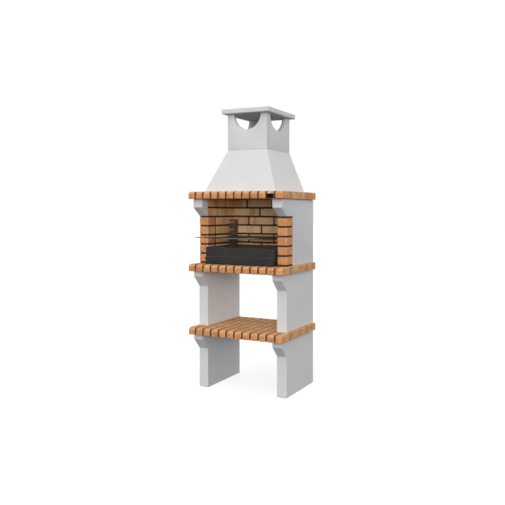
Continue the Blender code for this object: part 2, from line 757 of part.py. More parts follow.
def make_fire_grate():
    """Cast grate of parallel bars that rests on the box's ledges."""
    base = BOX_BASE + LEDGE_HEIGHT + BOX_SHEET + GAP
    half = RACK_INNER - GRATE_CLEARANCE
    front = BOX_SETBACK + BOX_SHEET + GRATE_CLEARANCE
    rear = BOX_INNER_REAR - GRATE_CLEARANCE
    pitch = (2 * half - GRATE_BAR) / (GRATE_BAR_COUNT - 1)
    xs = []
    for bar in range(GRATE_BAR_COUNT):
        left = -half + bar * pitch
        xs += [left, left + GRATE_BAR]
    middle = (front + rear) / 2
    ys = (front, front + GRATE_BAR, middle - GRATE_BAR / 2, middle + GRATE_BAR / 2,
          rear - GRATE_BAR, rear)
    shape = cells(xs, ys, (base, base + GRATE_THICKNESS), lambda i, j, k: i % 2 == 0 or j % 2 == 0)
    add_part("fire_grate", shape, CAST_IRON, (0, middle, base))


def make_rack(name, side):
    """Upright plate with slots open to the front, bent outwards along its rear edge."""
    base = BOX_BASE + BOX_SHEET + RACK_FOOT
    top = WORKTOP_TOP + RACK_TOP
    spine = RACK_REAR - SLOT_SPINE
    outline = [(RACK_FRONT, base), (RACK_REAR, base), (RACK_REAR, top), (RACK_FRONT, top)]
    for slot in reversed(range(SLOT_COUNT)):
        low = SLOT_BASE + slot * SLOT_PITCH
        high = low + SLOT_HEIGHT
        outline += [(RACK_FRONT, high), (spine, high), (spine, low), (RACK_FRONT, low)]
    shape = prism(outline, side * RACK_INNER, side * RACK_OUTER)
    origin = (side * RACK_INNER, RACK_REAR, base)
    rack = add_part(name, shape, BLACK_STEEL, origin)
    inside = side * (RACK_INNER + RACK_SHEET / 2)
    outside = side * (RACK_OUTER + RACK_FLANGE)
    low = (inside, RACK_REAR - RACK_SHEET, base)
    high = (outside, RACK_REAR, top)
    combine(rack, "UNION", block(low, high), f"{name}_flange")


def make_grill():
    """Welded grill: a frame, wires on top, two tail rods for the slots and two handles."""
    front = GRILL_FRONT
    rear = GRILL_REAR
    half = GRILL_HALF
    corners = [(-half, front, GRILL_Z), (half, front, GRILL_Z), (half, rear, GRILL_Z),
               (-half, rear, GRILL_Z)]
    frame = round_corners(corners, GRILL_CORNER, CORNER_STEPS, closed=True)
    origin = (0, front, GRILL_Z)
    shape = sweep(frame, ROD_RADIUS, ROD_SIDES, closed=True)
    grill = add_part("grill", shape, CHROME, origin, smooth=True)

    upper_tail = rear - GRILL_CORNER
    lower_tail = upper_tail - TAIL_SPACING
    wire_rear = upper_tail - TAIL_FRONT_GAP
    bars = bmesh.new()
    for y in ((front + wire_rear) / 2, wire_rear):
        rod_x(half, y, GRILL_Z, ROD_RADIUS, ROD_SIDES, bars)
    combine(grill, "UNION", bars, "grill_cross_bars")

    tail_half = RACK_OUTER + TAIL_REACH
    tails = bmesh.new()
    rod_x(tail_half, lower_tail, GRILL_Z - ROD_STEP, ROD_RADIUS, ROD_SIDES, tails)
    rod_x(tail_half, upper_tail, GRILL_Z + ROD_STEP, ROD_RADIUS, ROD_SIDES, tails)
    combine(grill, "UNION", tails, "grill_tail_rods")

    handles = bmesh.new()
    inner = half - HANDLE_WIDTH
    tip = HANDLE_TIP
    rise = GRILL_Z + HANDLE_RISE
    for side in SIDES.values():
        points = [(side * half, front + GRILL_CORNER, GRILL_Z), (side * half, tip, rise),
                  (side * inner, tip, rise), (side * inner, front, GRILL_Z)]
        sweep(round_corners(points, HANDLE_CORNER, CORNER_STEPS), ROD_RADIUS, ROD_SIDES,
              shape=handles)
    combine(grill, "UNION", handles, "grill_handles")

    wires = bmesh.new()
    wire_z = GRILL_Z + WIRE_STEP
    for wire in range(WIRE_COUNT):
        x = half * (2 * (wire + 1) / (WIRE_COUNT + 1) - 1)
        ends = [(x, front - ROD_RADIUS, wire_z), (x, wire_rear + ROD_RADIUS, wire_z)]
        sweep(ends, WIRE_RADIUS, WIRE_SIDES, shape=wires)
    combine(grill, "UNION", wires, "grill_wires")


for word, sign in SIDES.items():
    make_leg(f"leg_lower_{word}", sign, 0, LEG_LOWER_HEIGHT)
    make_leg(f"leg_upper_{word}", sign, SHELF_TOP + GAP, LEG_UPPER_HEIGHT - GAP)
    make_firebox_side(f"firebox_side_{word}", sign)
    make_pilaster(f"pilaster_{word}", sign)
    make_side_lining(f"lining_{word}", sign)
    make_rack(f"rack_{word}", sign)
make_slab("shelf", SHELF_BASE)
make_slab("worktop", WORKTOP_BASE)
make_lintel()
make_back_lining()
make_back_panel()
make_hood()
make_stack()
make_cap()
make_charcoal_box()
make_ash_flap()
make_fire_grate()
make_grill()
bpy.context.view_layer.update()
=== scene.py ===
"""Outdoor masonry barbecue, dressed for the render.

Each brick, panel, sheet and rod is a surface worked out with numpy. Lengths are metres. A depth (y)
is measured from the front face of the slabs, and shape_object moves it into the frame of the CAD.
"""

import math

import bmesh
import bpy
import numpy as np
from mathutils import Matrix, Vector


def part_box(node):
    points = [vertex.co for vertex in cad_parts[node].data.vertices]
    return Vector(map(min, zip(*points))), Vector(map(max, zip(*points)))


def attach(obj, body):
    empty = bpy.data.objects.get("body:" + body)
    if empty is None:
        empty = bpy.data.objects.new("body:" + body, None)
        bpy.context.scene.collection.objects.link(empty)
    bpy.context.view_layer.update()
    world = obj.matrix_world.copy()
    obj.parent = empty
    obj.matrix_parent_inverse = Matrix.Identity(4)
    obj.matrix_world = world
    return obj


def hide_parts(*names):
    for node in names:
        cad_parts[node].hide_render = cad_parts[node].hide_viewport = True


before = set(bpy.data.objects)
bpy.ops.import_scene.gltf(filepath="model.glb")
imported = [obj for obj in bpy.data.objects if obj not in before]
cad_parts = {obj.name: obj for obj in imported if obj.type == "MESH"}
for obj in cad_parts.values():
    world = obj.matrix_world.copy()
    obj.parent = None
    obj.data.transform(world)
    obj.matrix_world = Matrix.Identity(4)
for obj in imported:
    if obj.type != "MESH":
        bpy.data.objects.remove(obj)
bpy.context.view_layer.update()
chance = np.random.default_rng(41)
SLAB_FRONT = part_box("shelf_row_01")[0].y        # where depth 0 lies in the frame
SIDES = {"left": -1, "right": 1}
SKIN = 0.0003                     # what the CAD leaves free between pieces that touch

# Slabs. Sizes here and below are those of the CAD.
SLAB_BASES = {"shelf": 0.4110, "worktop": 0.8800, "lintel": 1.4140}
SLAB_THICKNESS = 0.054
SLAB_DEPTH = 0.5115
ROW_COUNT = 12
ROW_PITCH = 0.067
BRICK_WIDTH = 0.054
JOINT = ROW_PITCH - BRICK_WIDTH
SLAB_HALF = (ROW_COUNT * ROW_PITCH - JOINT) / 2
SIDE_JOINTS = ((0.1145, 0.1195), (0.3680, 0.3730))     # thin joints across a row, from and to
SLIP_THICKNESS = 0.030
NOSE_RADIUS = 0.020
TOE_RADIUS = 0.0070
NOSE_EDGE = 0.0055                # radius of the worn rims of a nose brick,
BRICK_EDGE = 0.0035               # of the other bricks
SLIP_EDGE = 0.0030                # and of the lining's slips
CORNER_MORE = 0.0015              # by which a corner's radius is larger than its rim's
MORTAR_RECESS = 0.003
BED_HALF = 0.3410

# Panels, pilasters and the lining of the firebox.
PANEL_INNER = 0.2970
PANEL_OUTER = 0.3750
LEG_FRONT = 0.0982
PILASTER_FRONT = 0.1020
PILASTER_REAR = 0.1935
PILASTER_TOP = 1.2898
FIREBOX_BASE = SLAB_BASES["worktop"] + SLAB_THICKNESS + SKIN
FIREBOX_TOP = SLAB_BASES["lintel"] - SKIN
COURSE_BASE = 0.9470
COURSE_PITCH = 0.480 / 7
COURSE_HEIGHT = COURSE_PITCH - JOINT
LINING_DEPTH = 0.030
LINING_RECESS = 0.0035
BACK_FACE = 0.4470
BACK_REAR = BACK_FACE + LINING_DEPTH - SKIN
FIRE = Vector((0.0, SLAB_FRONT + 0.2560, 1.0200))      # middle of the burning charcoal
PAINTED_HIGHLIGHT_WAY = np.array([-0.45, 0.89])      # y and z of the way that the painted highlights on the steel's rolled edge and bead face


# Surfaces

class Shape:
    """Points of a surface, the corners of its faces one after another, the number of corners of
    each face, and one value per point for each mark that a material reads."""

    def __init__(self, points, corners, sizes, marks=None):
        self.points = np.asarray(points, float)
        self.corners = np.asarray(corners, np.int64)
        self.sizes = np.asarray(sizes, np.int64)
        self.marks = {} if marks is None else dict(marks)

    def marked(self, **values):
        """Sets a mark: one value for every point, or one for each."""
        for key, value in values.items():
            self.marks[key] = np.broadcast_to(np.asarray(value, float), (len(self.points),)).copy()
        return self


def joined(shapes):
    """All shapes as one: the point numbers of each are raised by the points before it."""
    counts = np.array([len(shape.points) for shape in shapes])
    starts = np.concatenate([[0], np.cumsum(counts)[:-1]])
    names = sorted({name for shape in shapes for name in shape.marks})
    marks = {name: np.concatenate([shape.marks.get(name, np.zeros(len(shape.points)))
                                   for shape in shapes]) for name in names}
    return Shape(np.concatenate([shape.points for shape in shapes]),
                 np.concatenate([shape.corners + start for shape, start in zip(shapes, starts)]),
                 np.concatenate([shape.sizes for shape in shapes]), marks)


def skin(rings, worn=0, looped=False):
    """Quads over a grid of rings (m, n, 3). Ring i, point j meets point j + 1 and ring i + 1. The
    rings close on themselves. The first and last get a flat cap, or with looped they meet."""
    m, n = rings.shape[:2]
    index = np.arange(m * n).reshape(m, n)
    if looped:
        index = np.vstack([index, index[:1]])
    beside = np.roll(index, -1, 1)
    quads = np.stack([index[:-1], beside[:-1], beside[1:], index[1:]], -1).reshape(-1, 4)
    corners, sizes = [quads.ravel()], [np.full(len(quads), 4)]
    if not looped:
        corners += [index[0][::-1], index[-1]]
        sizes += [[n], [n]]
    shape = Shape(rings.reshape(-1, 3), np.concatenate(corners), np.concatenate(sizes))
    return shape.marked(worn=np.ravel(worn))


AXES = {"x": (1, 2, 0), "y": (2, 0, 1), "z": (0, 1, 2)}


def stacked(flats, levels, axis):
    """Flat outlines (m, n, 2) as rings in space, each at its own level along the axis. Their plane
    is y, z for axis x, then z, x for y and x, y for z."""
    u, v, w = AXES[axis]
    rings = np.empty(flats.shape[:2] + (3,))
    rings[..., u], rings[..., v], rings[..., w] = flats[..., 0], flats[..., 1], levels[:, None]
    return rings


def rim_wear(steps):
    """Wear across a rounded rim: 0.35 at its sides and 1 in its middle, along half a sine wave."""
    return 0.35 + 0.65 * np.sin(np.linspace(0, np.pi, steps + 1))


def side_shares(length, spacing, support, cuts=None):
    """Where a straight side is cut, as shares of its length: a support beside each end, and even
    cuts in between."""
    if length < 4 * support:
        return np.array([0.5])
    if cuts is None:
        cuts = max(1, int(round(length / spacing)))
    edge = support / length
    return np.concatenate([[edge], np.linspace(edge, 1 - edge, cuts + 1)[1:-1], [1 - edge]])


def outline_ring(corners, radii, inset=0.0, arc=4, spacing=0.014, support=0.0011, cuts=None):
    """Closed outline of rounded corners, anticlockwise, moved inwards by inset. With n0 and n1 the
    outward normals before and after corner P, and r its radius, negative in a hollow corner, the
    arc has its centre at C = P - r (n0 + n1) / (1 + n0.n1) and its points at C + (r - inset) n, as
    n turns from n0 to n1. Returns the points (n, 2) and the wear of each, from 0 to 1."""
    corners = np.asarray(corners, float)
    along = np.roll(corners, -1, 0) - corners
    after = np.stack([along[:, 1], -along[:, 0]], 1)
    after /= np.linalg.norm(after, axis=1, keepdims=True)
    before = np.roll(after, 1, 0)
    start = np.arctan2(before[:, 1], before[:, 0])
    turn = (np.arctan2(after[:, 1], after[:, 0]) - start + np.pi) % (2 * np.pi) - np.pi
    radius = np.sign(turn) * radii
    centre = corners - radius[:, None] * (before + after) / (1 + (before * after).sum(1))[:, None]
    angle = start[:, None] + turn[:, None] * np.linspace(0, 1, arc + 1)
    normal = np.stack([np.cos(angle), np.sin(angle)], -1)
    arcs = centre[:, None] + (radius[:, None, None] - inset) * normal
    full = centre[:, None] + radius[:, None, None] * normal
    points, worn = [], []
    for i in range(len(corners)):
        j = (i + 1) % len(corners)
        shares = side_shares(np.linalg.norm(full[j, 0] - full[i, -1]), spacing, support, cuts)
        points += [arcs[i], arcs[i, -1] + (arcs[j, 0] - arcs[i, -1]) * shares[:, None]]
        worn += [rim_wear(arc), np.zeros(len(shares))]
    return np.concatenate(points), np.concatenate(worn)


def carried(corners, radii, low, high, edge, axis="x", arc=4, spacing=0.014, support=0.0011):
    """An outline carried along an axis from low to high, with both rims rounded by the radius edge:
    at angle t of the rim the outline is inset by edge (1 - sin t) and stands edge (1 - cos t) from
    the end. Support rings lie beside the rims, and no inset reaches the centre of the smallest
    corner."""
    support = min(support, 0.8 * (np.min(radii) - edge))
    turn = np.linspace(0, np.pi / 2, arc + 1)
    bend, rise = edge * (1 - np.sin(turn)), edge * (1 - np.cos(turn))
    length = high - low - 2 * edge
    middle = low + edge + length * side_shares(length, spacing, support)
    insets = np.concatenate([[edge + support], bend, 0 * middle, bend[::-1], [edge + support]])
    levels = np.concatenate([[low], low + rise, middle, high - rise[::-1], [high]])
    rim_worn = np.concatenate([[0], rim_wear(arc), 0 * middle, rim_wear(arc), [0]])
    made = [outline_ring(corners, radii, inset, arc, spacing, support) for inset in insets]
    flats = np.stack([points for points, _ in made])
    worn = np.maximum(np.stack([mark for _, mark in made]), rim_worn[:, None])
    return skin(stacked(flats, levels, axis), worn)


def oblong(u0, u1, v0, v1):
    """The four corners of a rectangle, anticlockwise."""
    return [(u0, v0), (u1, v0), (u1, v1), (u0, v1)]


def uneven(shape, amount, size, seed):
    """Moves every point by three sums of sine waves: amount times the mean of sin(k.p + phase) over
    seven wave vectors k of wavelength size to 3 size. No point leaves the shape's own box."""
    draws = np.random.default_rng(seed)
    waves = draws.normal(size=(3, 7, 3))
    waves *= (2 * np.pi / (size * draws.uniform(1, 3, (3, 7)))
              / np.linalg.norm(waves, axis=2))[..., None]
    phase = draws.uniform(0, 2 * np.pi, (3, 7))
    moved = np.sin(np.einsum("pk,abk->pab", shape.points, waves) + phase).mean(2)
    low, high = shape.points.min(0), shape.points.max(0)
    shape.points = np.clip(shape.points + amount * moved, low, high)
    return shape


def tube(path, radius, sides, closed=False):
    """A round rod: the circle of the radius, in the plane square to the path at each of its points,
    side = up x tangent. An open rod ends in a low dome of three shrinking rings, the inner two of
    them 0.6 (1 - cos t) radii from the tip, for t of 30 and 60 degrees."""
    path = np.asarray(path, float)
    if closed:
        tangent = np.roll(path, -1, 0) - np.roll(path, 1, 0)
    else:
        tangent = np.gradient(path, axis=0)
    tangent /= np.linalg.norm(tangent, axis=1, keepdims=True)
    up = np.array([0.0, 0.0, 1.0]) if abs(tangent[:, 2]).max() < 0.8 else np.array([1.0, 0, 0])
    side = np.cross(up, tangent)
    side /= np.linalg.norm(side, axis=1, keepdims=True)
    top = np.cross(tangent, side)
    reach = np.full(len(path), float(radius))
    if not closed:
        sunk = 0.6 * radius * (1 - np.cos(np.radians([30, 60])))[:, None]
        path = np.vstack([path[0], path[0] + tangent[0] * sunk, path[1:-1],
                          path[-1] - tangent[-1] * sunk[::-1], path[-1]])
        dome = radius * np.array([0.45, 0.8, 1.0])
        reach = np.concatenate([dome, reach[1:-1], dome[::-1]])
        copies = [3] + [1] * (len(side) - 2) + [3]
        side, top = np.repeat(side, copies, 0), np.repeat(top, copies, 0)
    angle = np.linspace(0, 2 * np.pi, sides, endpoint=False)
    rings = (path[:, None] + reach[:, None, None]
             * (side[:, None] * np.cos(angle)[:, None] + top[:, None] * np.sin(angle)[:, None]))
    return skin(rings, looped=closed)


def cross_rod(half, y, z, radius, count, sides=14):
    """A straight rod along x from -half to half, with count points in its path."""
    return tube([(x, y, z) for x in np.linspace(-half, half, count)], radius, sides)


def bent_path(points, radius, steps=6, closed=False):
    """A path of straight runs with its corners rounded. At corner P, with unit directions u in and
    v out at the angle a, the arc starts at S = P - u r tan(a / 2), and its points are
    S + u r sin t + n r (1 - cos t), with n = (v - u cos a) / sin a and t from 0 to a."""
    points = np.asarray(points, float)
    spacing = 0.03
    count = len(points)
    pieces = []
    for i in range(count):
        if not closed and i in (0, count - 1):
            pieces.append(points[i:i + 1])
            continue
        u = points[i] - points[i - 1]
        v = points[(i + 1) % count] - points[i]
        u, v = u / np.linalg.norm(u), v / np.linalg.norm(v)
        a = np.arccos(np.clip(u @ v, -1, 1))
        n = (v - u * np.cos(a)) / np.sin(a)
        t = np.linspace(0, a, steps + 1)[:, None]
        pieces.append(points[i] - u * radius * np.tan(a / 2) + u * radius * np.sin(t)
                      + n * radius * (1 - np.cos(t)))
    path = [pieces[0]]
    for nxt in pieces[1:] + ([pieces[0]] if closed else []):
        last = path[-1][-1]
        cuts = max(1, int(np.linalg.norm(nxt[0] - last) / spacing))
        between = last + (nxt[0] - last) * np.linspace(0, 1, cuts + 1)[1:-1, None]
        path += [between, nxt]
    if closed:
        path = path[:-1]
    return np.concatenate(path)


def bead(centre, reach, sides=10, steps=6):
    """A weld bead or a dome: an ellipsoid, centre + reach (sin p cos q, sin p sin q, -cos p)."""
    p = np.linspace(0.12, np.pi - 0.12, steps)[:, None]
    q = np.linspace(0, 2 * np.pi, sides, endpoint=False)
    unit = np.stack([np.sin(p) * np.cos(q), np.sin(p) * np.sin(q), -np.cos(p) + 0 * q], -1)
    return skin(np.asarray(centre) + unit * np.asarray(reach))


# Materials

def linear(code):
    """An sRGB colour code as linear red, green, blue and full alpha."""
    values = [int(code[i:i + 2], 16) / 255 for i in (1, 3, 5)]
    light = [v / 12.92 if v <= 0.04045 else ((v + 0.055) / 1.055) ** 2.4 for v in values]
    return (*light, 1.0)


def add(tree, kind, inputs=(), output=0, **settings):
    """Adds one node, sets its settings, fills its inputs with values, colour codes or links, and
    returns its output of that number or name, if it has any."""
    made = tree.nodes.new("ShaderNode" + kind)
    for key, value in settings.items():
        setattr(made, key, value)
    for key, value in dict(inputs).items():
        if isinstance(value, bpy.types.NodeSocket):
            tree.links.new(value, made.inputs[key])
        else:
            made.inputs[key].default_value = linear(value) if isinstance(value, str) else value
    return made.outputs[output] if made.outputs else None


def new_material(name):
    """A material and its empty node tree."""
    material = bpy.data.materials.new(name)
    material.use_nodes = True
    material.node_tree.nodes.clear()
    return material, material.node_tree


def surfaced(tree, sockets, relief=None, depth=0.0, strength=1.0):
    """Ends a material: its surface is raised by a relief, if there is one, to the depth and at the
    strength given, and its shader's sockets get these values or links."""
    if relief is not None:
        raised = add(tree, "Bump", {"Height": relief, "Distance": depth, "Strength": strength})
        sockets = {**sockets, "Normal": raised}
    shader = add(tree, "BsdfPrincipled", sockets)
    add(tree, "OutputMaterial", {"Surface": shader})


def layered(tree, ground, *layers):
    """A colour with others laid over it in turn. A layer is a colour and the value that is its
    share. With numbers behind them, the share rises smoothly from 0 to the third number, or to 1,
    while the value goes from the first number to the second."""
    for colour, value, *rise in layers:
        if rise:
            share = rise[2] if len(rise) > 2 else 1.0
            value = add(tree, "MapRange", {"Value": value, "From Min": rise[0],
                                           "From Max": rise[1], "To Max": share},
                        interpolation_type="SMOOTHSTEP")
        ground = add(tree, "Mix", {0: value, 6: ground, 7: colour}, output=2, data_type="RGBA")
    return ground


def brick_place(tree):
    """Object coordinates that jump from brick to brick: place + jump times the brick's own tone."""
    place = add(tree, "TexCoord", output="Object")
    tone = add(tree, "Attribute", output="Fac", attribute_name="tone")
    jump = add(tree, "VectorMath", {0: (1.70, 3.23, 1.19), "Scale": tone}, operation="SCALE")
    return add(tree, "VectorMath", {0: place, 1: jump}, operation="ADD"), tone


def clay_surface(tree, place, colour):
    """Fired clay pressed in a mould: sand grain of about 0.8 mm, drawn at 1.6 mm so that it shows,
    drag marks of a few centimetres, and pits where grit fell out. It is matt."""
    grain = add(tree, "TexNoise", {"Vector": place, "Scale": 620.0, "Detail": 3.0,
                                   "Roughness": 0.65})
    drag = add(tree, "TexNoise", {"Vector": place, "Scale": 75.0, "Detail": 4.0})
    pits = add(tree, "TexVoronoi", {"Vector": place, "Scale": 210.0})
    pit = add(tree, "MapRange", {"Value": pits, "From Min": 0.10, "From Max": 0.24})
    rare = add(tree, "MapRange", {"Value": drag, "From Min": 0.50, "From Max": 0.56})
    pit = add(tree, "Math", {0: pit, 1: rare}, operation="MAXIMUM")
    speck = add(tree, "MapRange", {"Value": grain, "From Min": 0.30, "From Max": 0.72,
                                   "To Min": 0.86, "To Max": 1.10})
    shade = add(tree, "MapRange", {"Value": pit, "To Min": 0.72, "To Max": 1.0})
    shade = add(tree, "Math", {0: shade, 1: speck}, operation="MULTIPLY")
    lit = add(tree, "VectorMath", {0: colour, "Scale": shade}, operation="SCALE")
    relief = add(tree, "Math", {0: grain, 1: 0.45, 2: pit}, operation="MULTIPLY_ADD")
    relief = add(tree, "Math", {0: drag, 1: 0.9, 2: relief}, operation="MULTIPLY_ADD")
    surfaced(tree, {"Base Color": lit, "Roughness": 0.82, "Specular IOR Level": 0.35}, relief,
             0.00035, 0.9)


def fired_brick():
    """Facing brick of orange clay: the front that met the flame is orange, the other faces are tan
    with flashes, and the worn rims are paler."""
    material, tree = new_material("fired_brick")
    place, tone = brick_place(tree)
    tan = add(tree, "Attribute", output="Fac", attribute_name="tan")
    worn = add(tree, "Attribute", output="Fac", attribute_name="worn")
    cloud = add(tree, "TexNoise", {"Vector": place, "Scale": 26.0, "Detail": 3.0})
    flash = add(tree, "TexNoise", {"Vector": place, "Scale": 9.0, "Detail": 2.0})
    orange = layered(tree, "#CF8954", ("#E2A36C", cloud, 0.35, 0.66),
                     ("#D08353", tone, 0.55, 1.0, 0.45))
    sandy = layered(tree, "#CDA073", ("#E3B986", cloud, 0.34, 0.68),
                    ("#D78D57", flash, 0.47, 0.62, 0.75))
    patchy = add(tree, "MapRange", {"Value": cloud, "From Min": 0.3, "From Max": 0.7,
                                    "To Min": 0.35, "To Max": 0.75},
                 interpolation_type="SMOOTHSTEP")
    rubbed = add(tree, "Math", {0: worn, 1: patchy}, operation="MULTIPLY")
    clay_surface(tree, place, layered(tree, orange, (sandy, tan), ("#EBB380", rubbed)))
    return material


def refractory_brick():
    """Firebrick slips of the lining: tan clay with upright bands of red-orange and yellow-green
    where the kiln's flame licked between the stacked slips. A band is 20 to 50 mm wide. The clay
    colours are partly painted light: pale firebrick, made paler still to stand in for light in the
    firebox's shade. Slips marked tan get the palest colour, painted light that makes the back wall
    lighter than the sides."""
    material, tree = new_material("refractory_brick")
    place, tone = brick_place(tree)
    tan = add(tree, "Attribute", output="Fac", attribute_name="tan")
    worn = add(tree, "Attribute", output="Fac", attribute_name="worn")
    upright = add(tree, "Mapping", {"Vector": place, "Scale": (1.0, 1.0, 0.12)})
    red = add(tree, "TexNoise", {"Vector": upright, "Scale": 15.0, "Detail": 1.5})
    shifted = add(tree, "Mapping", {"Vector": upright, "Location": (3.1, 2.3, 0.7)})
    green = add(tree, "TexNoise", {"Vector": shifted, "Scale": 19.0, "Detail": 1.5})
    cloud = add(tree, "TexNoise", {"Vector": place, "Scale": 30.0, "Detail": 3.0})
    rubbed = add(tree, "Math", {0: worn, 1: 0.35}, operation="MULTIPLY")
    # Partly painted light: these clay colours are paler than the firebrick to lift the firebox's
    # shade, and #FFD9A9 on the slips marked tan lights the back wall
    body = layered(tree, "#EBB681", ("#F7CA93", cloud, 0.34, 0.66), ("#FFD9A9", tan),
                   ("#DE8A50", red, 0.47, 0.70, 0.70), ("#DAC47E", green, 0.54, 0.74, 0.60),
                   ("#D0935A", tone, 0.5, 1.0, 0.3), ("#F0CB9C", rubbed))
    clay_surface(tree, place, body)
    return material


def dark_mortar(name, deep, pale, grit):
    """Dark tinted mortar raked back between the bricks: sharp sand of 1 to 2 mm in a brown paste,
    so it is matt and gritty. In the slabs it is bleached by use, and its top behind the noses gets
    a paler colour, painted light that lifts the shade of the recessed joints."""
    material, tree = new_material(name)
    place = add(tree, "TexCoord", output="Object")
    dust = add(tree, "Attribute", output="Fac", attribute_name="dust")
    sand = add(tree, "TexVoronoi", {"Vector": place, "Scale": 520.0})
    cloud = add(tree, "TexNoise", {"Vector": place, "Scale": 55.0, "Detail": 4.0})
    # A67A4A is painted light on the marked top of the slab mortar, lifting the shade of its joints
    body = layered(tree, deep, (pale, cloud, 0.35, 0.65), (grit, sand, 0.30, 0.10, 0.5),
                   ("#A67A4A", dust))
    relief = add(tree, "Math", {0: sand, 1: -0.6, 2: cloud}, operation="MULTIPLY_ADD")
    surfaced(tree, {"Base Color": body, "Roughness": 0.95}, relief, 0.0009)
    return material


def cast_concrete(name, pale, dull, roughness, depth):
    """Concrete from a steel mould: air pits of 1 to 2 mm, faint clouds of 100 mm and a fine skin.
    The painted kind is pale and even, the bare kind grey with more pits."""
    material, tree = new_material(name)
    place = add(tree, "TexCoord", output="Object")
    cloud = add(tree, "TexNoise", {"Vector": place, "Scale": 7.0, "Detail": 5.0,
                                   "Roughness": 0.55})
    fine = add(tree, "TexNoise", {"Vector": place, "Scale": 260.0, "Detail": 3.0})
    pits = add(tree, "TexVoronoi", {"Vector": place, "Scale": 64.0})
    pit = add(tree, "MapRange", {"Value": pits, "From Min": 0.035, "From Max": 0.085})
    shade = add(tree, "MapRange", {"Value": pit, "To Min": 0.80, "To Max": 1.0})
    speck = add(tree, "MapRange", {"Value": fine, "From Min": 0.3, "From Max": 0.7,
                                   "To Min": 0.975, "To Max": 1.01},
                interpolation_type="SMOOTHSTEP")
    shade = add(tree, "Math", {0: shade, 1: speck}, operation="MULTIPLY")
    body = layered(tree, dull, (pale, cloud, 0.30, 0.70))
    lit = add(tree, "VectorMath", {0: body, "Scale": shade}, operation="SCALE")
    relief = add(tree, "Math", {0: fine, 1: 0.22, 2: pit}, operation="MULTIPLY_ADD")
    surfaced(tree, {"Base Color": lit, "Roughness": roughness, "Specular IOR Level": 0.30},
             relief, depth, 0.8)
    return material


def black_sheet_steel(name="black_sheet_steel", pale="#292826", dull="#242321", roughness=0.60,
                      gloss=0.30):
    """Folded sheet steel with a baked matt black heat paint: nearly even, a little brown where the
    heat dulled it, lighter grey as a painted highlight on the rolled edge and the bead, browner and
    paler as painted light on the faces towards the fire, and a soft sheen. The enamel of the name
    plate is the blacker kind."""
    material, tree = new_material(name)
    place = add(tree, "TexCoord", output="Object")
    worn = add(tree, "Attribute", output="Fac", attribute_name="worn")
    painted_fill_light = add(tree, "Attribute", output="Fac", attribute_name="painted_fill_light")
    cloud = add(tree, "TexNoise", {"Vector": place, "Scale": 11.0, "Detail": 4.0})
    orange_peel = add(tree, "TexNoise", {"Vector": place, "Scale": 420.0, "Detail": 2.0})
    # 555350 is a painted highlight, and #625549 is painted light on the faces towards the fire
    body = layered(tree, dull, (pale, cloud, 0.32, 0.68), ("#555350", worn), ("#625549", painted_fill_light))
    rough = add(tree, "MapRange", {"Value": cloud, "From Min": 0.3, "From Max": 0.7,
                                   "To Min": roughness + 0.06, "To Max": roughness - 0.06},
                interpolation_type="SMOOTHSTEP")
    surfaced(tree, {"Base Color": body, "Roughness": rough, "Specular IOR Level": gloss},
             orange_peel, 0.00012, 0.6)
    return material


def cast_iron():
    """Grey cast iron from a sand mould: dark, grainy, with a trace of rust in the hollows."""
    material, tree = new_material("cast_iron")
    place = add(tree, "TexCoord", output="Object")
    sand = add(tree, "TexNoise", {"Vector": place, "Scale": 380.0, "Detail": 4.0,
                                  "Roughness": 0.7})
    cloud = add(tree, "TexNoise", {"Vector": place, "Scale": 28.0, "Detail": 3.0})
    body = layered(tree, "#2B2A29", ("#3A332D", cloud, 0.35, 0.7),
                   ("#54392A", sand, 0.60, 0.74, 0.6))
    surfaced(tree, {"Base Color": body, "Roughness": 0.72, "Metallic": 0.35}, sand, 0.0006, 0.9)
    return material


def chromed_rod(name="chromed_rod", pale="#938A7E", dull="#746A60", roughness=0.34):
    """Chromed steel rod, dulled and browned by use. Zinc plating, on screws and rivets, is the
    greyer kind."""
    material, tree = new_material(name)
    place = add(tree, "TexCoord", output="Object")
    cloud = add(tree, "TexNoise", {"Vector": place, "Scale": 60.0, "Detail": 3.0})
    rough = add(tree, "MapRange", {"Value": cloud, "From Min": 0.3, "From Max": 0.7,
                                   "To Min": roughness - 0.06, "To Max": roughness + 0.10},
                interpolation_type="SMOOTHSTEP")
    surfaced(tree, {"Base Color": layered(tree, pale, (dull, cloud, 0.35, 0.7)),
                    "Roughness": rough, "Metallic": 1.0})
    return material


BRICK = fired_brick()
FIREBRICK = refractory_brick()
MORTAR = dark_mortar("dark_mortar", "#3A2619", "#4E3626", "#6C523B")
SLAB_MORTAR = dark_mortar("slab_mortar", "#4B311E", "#66482E", "#86674A")
CONCRETE = cast_concrete("painted_concrete", "#E2E2E3", "#DFDFE0", 0.80, 0.0005)
BARE_CONCRETE = cast_concrete("bare_concrete", "#A8A49C", "#94908A", 0.92, 0.0010)
STEEL = black_sheet_steel()
ENAMEL = black_sheet_steel("black_enamel", "#0E0D0D", "#0A0909", 0.55, 0.05)
IRON = cast_iron()
CHROME = chromed_rod()
ZINC = chromed_rod("zinc_plated_steel", "#A6A8A8", "#8C8D8B", 0.38)


# Objects

